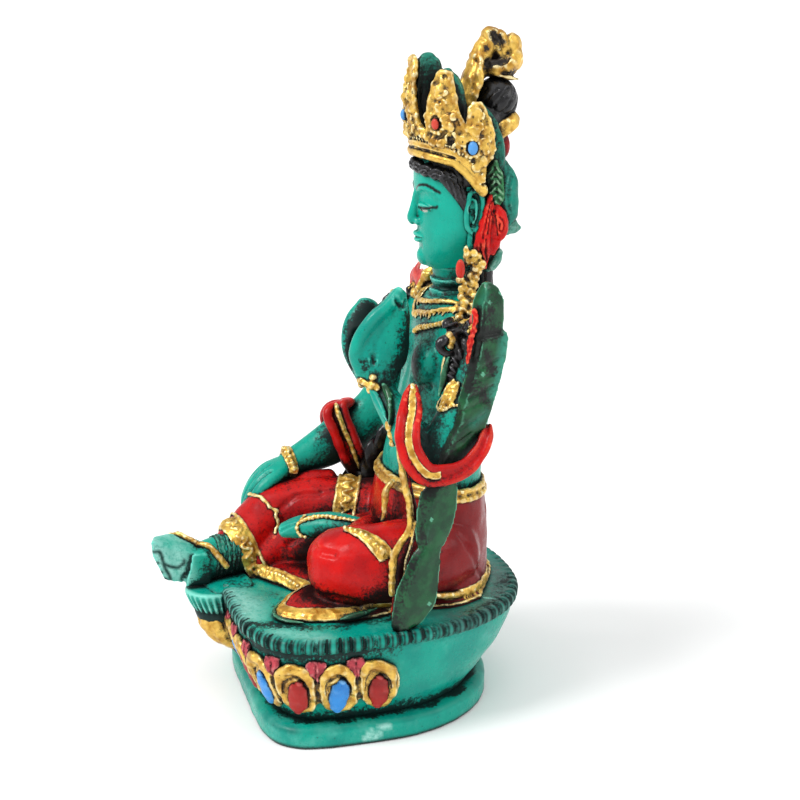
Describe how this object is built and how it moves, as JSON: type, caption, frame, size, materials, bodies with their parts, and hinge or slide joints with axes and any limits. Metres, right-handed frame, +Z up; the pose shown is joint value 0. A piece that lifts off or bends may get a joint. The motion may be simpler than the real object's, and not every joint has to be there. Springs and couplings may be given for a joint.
{
  "type": "tara figure",
  "caption": "Painted cast-resin Tara statue, seated with one leg down on a small lotus, raised hand, leaf crown, lotus stems at the arms, on a bowl-shaped petal plinth with a toothed rim.",
  "frame": {"origin": "on the flat underside of the plinth, below the upright axis of the seat", "axes": "+Z up; the figure looks toward -Y; its own left side, with the raised hand, is +X"},
  "size_m": [0.083, 0.1049, 0.19],
  "materials": {
    "turquoise_paint": "cast resin with turquoise-green paint, satin, dark wash in the recesses",
    "red_paint": "cast resin with red paint, satin, dark wash in the folds",
    "gold_paint": "cast resin with metallic gold paint, worn and washed dark in the relief",
    "black_paint": "cast resin with black paint, satin",
    "leaf_green_paint": "cast resin with dark green paint, satin",
    "blue_paint": "cast resin with sky blue paint, satin"
  },
  "bodies": {
    "root": {"tara_figure": "turquoise_paint"}
  },
  "joints": []
}
